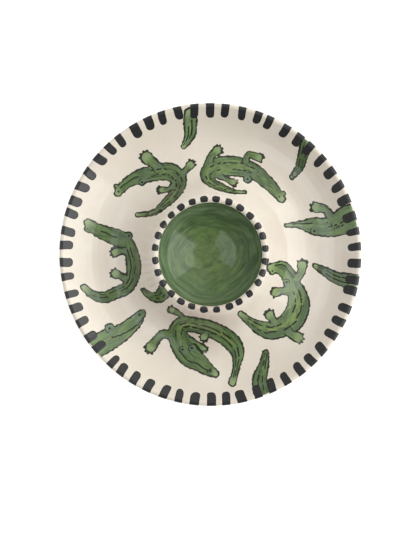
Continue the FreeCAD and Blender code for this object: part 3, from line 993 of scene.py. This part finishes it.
def cut_out(fields, low, high):
    """The painted part of a flat grid of square cells, from low to high.

    Cells inside the drawing, widened by MARGIN for the loose outline, are kept. A border vertex slides by
    -v g / |g| ^ 2 to the margin's contour, where v is the distance outside it and g its gradient. Returns
    the vertices, the faces, which vertices are the border, and how deep inside each lies.
    """
    grid = np.stack(np.meshgrid(*(np.arange(a, b, CELL) for a, b in zip(low, high)), indexing="ij"), -1)
    flat = grid.reshape(-1, 2)
    radius = np.hypot(*flat.T)
    level = fields(*flat.T)
    reach = np.minimum(level["edge"] - MARGIN, level["ink"] - INK_MARGIN)
    reach = np.maximum(reach, np.maximum(radius - PAINT_OUTER_R, PAINT_INNER_R - radius))
    value = reach.reshape(grid.shape[:2])
    index = np.arange(len(flat)).reshape(value.shape)
    corners = np.stack([index[:-1, :-1], index[1:, :-1], index[1:, 1:], index[:-1, 1:]], -1).reshape(-1, 4)
    corners, border = without_slivers(corners[(reach[corners] < 0).all(1)], len(flat))
    slope = np.stack(np.gradient(value, CELL), -1).reshape(-1, 2)
    steep = np.maximum((slope ** 2).sum(1), 0.3)[:, None]
    slide = np.clip(-slope * (reach[:, None] / steep), -0.7 * CELL, 0.7 * CELL)
    flat = flat + slide * border[:, None]
    kept = np.unique(corners)
    renumber = np.zeros(len(flat), int)
    renumber[kept] = np.arange(len(kept))
    return flat[kept], renumber[corners], border[kept], -reach[kept]


def crocodile(node, spine, legs=(), eyes=(), spots=(), mouth=None, back=(0.3, 0.94), rows=(-0.34, 0.3),
              pale=(0.0, 1.0), lumps=(), dash=3.1, yellow=0.45, deep=0.2, seed=0):
    """One brushed crocodile, or the part of one that shows.

    Its body is a line with a half width, and legs, eyes and lumps join it softly. back gives where along
    the body the dashes start and end, rows how far each row of them lies to the left in half widths, and
    dash how long they are. mouth gives the same places and offsets for the jaw. pale holds 0 for a pale
    snout and 1 for a pale tail, yellow is the ridge's strength, and deep darkens the wash, or pales it
    where it is below 0.
    """
    body = smooth(polar(spine))
    limbs = [limb_line(*leg) for leg in legs]

    def fields(x, y):
        """Every mark of the drawing at the points (x, y)."""
        drawing = Drawing(x, y, body, yellow, pale, seed)
        if rows:
            drawing.strokes.append(back_marks(body, *back, rows, dash, np.random.default_rng(seed + 1)))
        for limb in limbs:
            drawing.add_leg(limb)
        for eye in eyes:
            drawing.add_eye(*eye)
        for lump in lumps:
            drawing.add_lump(*lump)
        for spot in spots:
            drawing.add_spot(*spot)
        if mouth:
            drawing.strokes.append(mouth_line(body, *mouth, seed))
        return drawing.marks(seed)

    lines = np.concatenate([body, *limbs])
    low = (lines[:, :2] - lines[:, 2:]).min(0) - BOX_ROOM
    high = (lines[:, :2] + lines[:, 2:]).max(0) + BOX_ROOM
    flat, faces, border, depth = cut_out(fields, low, high)
    marks = fields(*flat.T)
    marks["tone"] = np.random.default_rng(seed).uniform(0, 30)
    marks["deep"] = deep
    lift = np.where(border, -WASH_SINK, WASH_LIFT * np.clip(depth / 1.2, 0.15, 1))
    radius, turn = np.hypot(*flat.T), np.arctan2(flat[:, 1], flat[:, 0])
    coat(node + "_brushed", node, s_at(radius), turn, lift, faces, border, marks, brushwork,
         "crocodile_green", crease=80)


def crocodiles():
    """Twelve crocodiles: five whole, two heads and five tails that the lip or the bowl cuts off.

    Spines run from snout to tail as (degrees round from X, radius, half width), legs outwards as (degrees,
    radius) with a half width, and eyes, spots and lumps are (degrees, radius, size).
    """
    crocodile(
        "crocodile_top_right",
        spine=[(38.2, 99.5, 4.6), (41, 99.8, 5.2), (48, 100.5, 6.6), (55, 101.5, 7.8), (61, 103, 8.8),
               (66, 102.5, 9.6), (72, 101.5, 11), (79, 99, 11.3), (86, 95.5, 11), (91.5, 88, 9),
               (89, 78.5, 5.6), (79, 73.5, 4.2), (69, 73, 2.6), (61, 77.5, 1.9)],
        legs=[([(69, 106), (69, 117.5), (63.6, 119.5)], 4.3),
              ([(91, 99), (89.6, 107.5), (86.2, 114.8)], 4.7),
              ([(84, 87), (78, 84), (72.5, 82.5)], 3.6)],
        eyes=[(63.8, 92.4, 4.8)],
        spots=[(40, 99, 0.9), (38.6, 103.6, 0.8), (71, 108, 0.9), (88, 106, 0.7), (60, 104.5, 0.6)],
        lumps=[(39.9, 105, 2.7)],
        deep=0.12, seed=11)
    crocodile(
        "crocodile_top_left",
        spine=[(146.2, 122.2, 4.2), (143.8, 122.4, 5.4), (138, 120, 6), (132.5, 116, 8),
               (127, 111, 8.6), (120.5, 106, 9.8), (115, 99, 10), (113, 89, 8.8), (116, 80.5, 7.4),
               (123.5, 75, 6), (135, 74, 4.4), (144, 77, 3.3), (151.5, 91, 2.6)],
        legs=[([(120.5, 105), (121.4, 116), (123.2, 127)], 6.2),
              ([(110, 92), (106.5, 96), (102.5, 101)], 4.4),
              ([(118, 85), (123, 85), (127, 88.5)], 3.6)],
        eyes=[(133.3, 109.5, 3.8)],
        spots=[(145.5, 122.4, 1.0), (129, 108, 0.6), (118, 106, 0.6)],
        lumps=[(143.9, 127.6, 2.7)],
        mouth=(0.04, 0.2, 0.1, 0.1), dash=3.6, yellow=0.3, deep=0.3, seed=23)
    crocodile(
        "crocodile_left",
        spine=[(165.4, 138.6, 4.5), (166.5, 133, 6), (167.7, 127, 7.2), (168.8, 113, 8.6),
               (170, 102, 9.6), (172, 93, 8), (177, 87, 7.3), (184, 84.5, 8.2), (191, 85, 8.4),
               (197.5, 90, 7.2), (201.6, 99, 7), (202, 111, 6.6), (202, 125, 6.2), (199, 136, 4.6),
               (194.5, 143, 3.6)],
        legs=[([(178, 90), (177.5, 97), (178.5, 104)], 4.6),
              ([(197, 95), (194, 100), (191.5, 106)], 4.6)],
        eyes=[(167, 91.6, 4.4)],
        spots=[(168, 138, 0.6)],
        lumps=[(167.9, 136.4, 4.8)],
        mouth=(0.11, 0.23, 0.05, 0.0), back=(0.36, 0.95), rows=(-0.38, 0.12), dash=8.5, yellow=0.15,
        deep=0.3, seed=37)
    crocodile(
        "crocodile_bottom",
        spine=[(272.5, 131, 4), (269, 126, 6.8), (264, 119, 9.6), (259, 114, 12.2), (254.5, 107, 12.8),
               (250, 99, 11.6), (247, 91, 10), (249, 82, 9.4), (257, 78.5, 8.6), (268.5, 80.5, 9.2),
               (278, 88, 9.6), (284, 99.5, 9.4), (285.6, 112, 7.2), (284, 122, 4.8), (282, 132, 3.6),
               (279.8, 142, 4.4)],
        legs=[([(244, 98), (238.5, 103.5), (237.3, 121)], 5.4),
              ([(248, 76), (242, 72.5), (235.5, 73)], 3.6),
              ([(257, 96), (262, 99), (265.8, 103.2)], 3.3),
              ([(267, 83), (266.4, 88), (265.8, 90.6)], 4.0)],
        eyes=[(253.6, 108.8, 4.0), (258.8, 104.6, 4.0)],
        spots=[(270, 126.5, 1.2), (268.5, 129, 0.8), (263, 121, 0.7), (250, 88, 0.7)],
        mouth=(0.03, 0.25, 0.15, 0.5), back=(0.34, 0.94), rows=(-0.3, 0.2), dash=8.5, yellow=0.6,
        deep=0.3, seed=41)
    crocodile(
        "crocodile_right",
        spine=[(347.5, 67.5, 5.2), (348.6, 73, 6), (349, 80, 8), (345, 89, 8.6), (340.5, 95, 9),
               (336, 104, 10.4), (331, 111, 12.2), (325.6, 114.5, 12.6), (320.5, 115, 12.6),
               (314.7, 112, 11), (308.3, 106, 10), (303.7, 95.5, 7.2), (300.5, 84.5, 4.8),
               (297, 72, 3.2)],
        legs=[([(343.5, 97), (348.5, 101.5), (353.4, 101.8)], 5.2),
              ([(335, 93), (332.6, 87), (330.4, 82.6)], 4.8),
              ([(315.5, 116), (315.4, 124), (316.6, 132)], 5.4),
              ([(313.5, 104), (314, 98), (314.6, 93)], 4.8)],
        eyes=[(340.2, 88.6, 3.6)],
        spots=[(345, 69.5, 0.8), (334, 112, 0.7), (331, 117, 0.6)],
        lumps=[(343.8, 69.5, 3.0)],
        mouth=(0.03, 0.19, 0.5, 0.35), dash=4.8, yellow=1.0, deep=-0.15, seed=53)
    crocodile(
        "crocodile_head_right",
        spine=[(21, 89, 2.2), (20, 95, 2.8), (18.9, 102, 3.6), (17, 110, 6.2), (15.6, 118, 9.2),
               (13.6, 128, 10), (12.8, 138, 10.8), (13.6, 148, 13.4), (14.4, 156, 15.4),
               (14.2, 166, 15.4)],
        legs=[([(16.5, 139), (21.5, 135.5), (24, 127.5)], 5.2)],
        eyes=[(12.8, 117.4, 4.6)],
        spots=[(14, 137, 0.7), (12, 139, 0.6), (15.4, 133, 0.7), (13, 131, 0.5)],
        mouth=(0.1, 0.36, 0.3, 0.3), back=(0.6, 0.98), rows=(-0.25, 0.05), pale=(0.0,), yellow=0.2,
        deep=-0.35, seed=67)
    crocodile(
        "crocodile_head_lower_left",
        spine=[(220.6, 98, 4), (221, 103, 5.6), (221.8, 112, 7.6), (221.4, 131, 9.8), (219.9, 145, 12),
               (218.8, 163, 12.5)],
        eyes=[(216.2, 137, 5.4)],
        spots=[(220.3, 102, 1.4)],
        lumps=[(218.4, 129, 3.4)],
        mouth=(0.06, 0.66, 0.75, -0.05), back=(0.8, 0.99), rows=(), pale=(), deep=-0.3, seed=71)
    crocodile(
        "crocodile_tail_upper_right",
        spine=[(49.5, 165, 6.6), (48.8, 158, 6.2), (46.7, 147.5, 5.6), (44.4, 136.5, 4.6),
               (43.5, 124, 2.8)],
        back=(0.2, 0.98), rows=(-0.3, 0.35), pale=(1.0,), dash=3.2, yellow=0.1, deep=0.15, seed=83)
    crocodile(
        "crocodile_tail_top",
        spine=[(98.2, 155, 6), (98.3, 150, 7.2), (98.8, 143, 7.2), (99.4, 135, 6.2), (101.7, 127, 4.2),
               (103.9, 122.5, 3.0)],
        back=(0.15, 0.9), rows=(-0.3, 0.25), pale=(0.0, 1.0), dash=5, yellow=0.3, deep=-0.2, seed=89)
    crocodile(
        "crocodile_tail_by_bowl",
        spine=[(218, 60, 8), (219.5, 67, 7.4), (219.5, 72.5, 6.2), (214.8, 79, 4.4), (208, 83, 2.8)],
        back=(0.2, 0.9), rows=(-0.25, 0.3), pale=(), yellow=0.1, deep=0.4, seed=97)
    crocodile(
        "crocodile_tail_lower_right",
        spine=[(290.6, 165, 8.4), (290.6, 155, 8.4), (292, 145, 7.6), (296, 134.5, 5.4),
               (299.4, 124, 3.6)],
        back=(0.15, 0.97), rows=(-0.3, 0.25), pale=(), dash=5.5, yellow=0.6, deep=0.35, seed=101)
    crocodile(
        "crocodile_tail_right",
        spine=[(349.2, 165, 8.6), (349.2, 153, 8.2), (349.5, 141, 6.6), (351.3, 129.5, 5),
               (354, 115.5, 2.6)],
        back=(0.2, 0.9), rows=(-0.3, 0.3), pale=(1.0,), dash=7, yellow=0.15, deep=-0.3, seed=103)


dish()
dip_bowl()
foot_ring()
luting_coil()
bowl_lining()
rim_dots()
rim_dashes()
crocodiles()


# ---------------------------------------------------------------- stage, light and camera
FLOOR_DROP = 0.0002


def stage_floor():
    """A wide pale floor, level in the middle: past r = 2 m it lifts as z = 0.02 ((r - 2) / 4) ^ 2.

    It lies FLOOR_DROP under the foot, so that the two never share a plane.
    """
    rows, columns = 40, 96
    radius = np.linspace(0, 6, rows)[:, None]
    turn = (np.arange(columns) * 2 * math.pi / columns)[None]
    lift = 0.02 * (np.clip(radius - 2, 0, None) / 4) ** 2 - FLOOR_DROP
    points = np.stack(np.broadcast_arrays(radius * np.cos(turn), radius * np.sin(turn), lift), -1)
    mesh = bpy.data.meshes.new("floor")
    faces = woven(rows, columns, ring=True)[:, ::-1]
    mesh.from_pydata(points.reshape(-1, 3).tolist(), [], faces.tolist())
    mesh.validate()
    floor = bpy.data.objects.new("floor", mesh)
    bpy.context.scene.collection.objects.link(floor)
    material = bpy.data.materials.new("pale_floor")
    material.use_nodes = True
    values = {"Base Color": (0.92, 0.92, 0.92, 1), "Roughness": 0.9, "Specular IOR Level": 0.1,
              "Emission Color": (1, 1, 1, 1), "Emission Strength": 0.45}
    for socket, value in values.items():
        material.node_tree.nodes["Principled BSDF"].inputs[socket].default_value = value
    mesh.materials.append(material)


stage_floor()


SOFT_LIGHT, DIM_LIGHT = (0.52, 0.51, 0.50, 1), (0.26, 0.255, 0.25, 1)
GLOW = (1.02, 1.01, 0.99, 1)
WINDOW = (2.25, 2.25, 2.22, 1)
HIGH_BAND = (1.30, 1.38, 1.48, 1)


def room_light():
    """Soft light all round: a wide bright wall of windows to the right, a pale band high on the left.

    Each part's brightness is set by the direction's height z and its angle from the windows' middle.
    """
    world = bpy.data.worlds.new("studio")
    bpy.context.scene.world = world
    world.use_nodes = True
    r = Recipe(world.node_tree)
    background = world.node_tree.nodes["Background"]
    x, y, z = r.split(r.node("ShaderNodeTexCoord", out=0))

    def beside_azimuth(azimuth, low, high, start, end):
        """start within low of an azimuth, and end past high, in radians round from it."""
        east, north = math.cos(math.radians(azimuth)), math.sin(math.radians(azimuth))
        ahead = r.plus(r.times(x, east), r.times(y, north))
        aside = r.minus(r.times(y, east), r.times(x, north))
        return r.fade(r.math("ABSOLUTE", r.math("ARCTAN2", aside, ahead)), low, high, start, end)

    def below(low, high):
        """1 for directions lower than low, and 0 for those higher than high."""
        return r.fade(z, low, high, 1.0, 0.0)

    dim = r.times(beside_azimuth(285, 0.7, 1.6, 1.0, 0.0), below(0.9, 0.97))
    glow = r.times(beside_azimuth(20, 0.8, 1.45, 1.0, 0.0), below(0.9, 0.98))
    window = r.times(beside_azimuth(1, 0.58, 0.63, 1.0, 0.0), below(0.905, 0.925))
    window = r.times(window, r.fade(z, 0.15, 0.2))
    high = r.times(r.fade(z, 0.79, 0.82), below(0.965, 0.98))
    band = r.times(beside_azimuth(18, 2.2, 2.35, 0.0, 1.0), high)
    light = r.mix(dim, SOFT_LIGHT, DIM_LIGHT)
    light = r.mix(glow, light, GLOW)
    light = r.mix(window, light, WINDOW)
    light = r.mix(band, light, HIGH_BAND)
    r.link(light, background.inputs["Color"])
    background.inputs["Strength"].default_value = 1.07


room_light()

bpy.context.scene.view_settings.view_transform = "Standard"

# The camera looks straight down. The long side of its view spans VIEW_LONG metres at the lip's level.
VIEW_LONG = 0.5863
VIEW_CENTRE = (-0.0025, -0.0163)
VIEW_LEVEL = 0.03
CAMERA_HEIGHT = 1.5               # above that level
SENSOR = 36
camera_data = bpy.data.cameras.new("camera")
camera_data.sensor_width = SENSOR
camera_data.lens = SENSOR * CAMERA_HEIGHT / VIEW_LONG
camera = bpy.data.objects.new("camera", camera_data)
camera.location = (*VIEW_CENTRE, VIEW_LEVEL + CAMERA_HEIGHT)
bpy.context.scene.collection.objects.link(camera)
bpy.context.scene.camera = camera
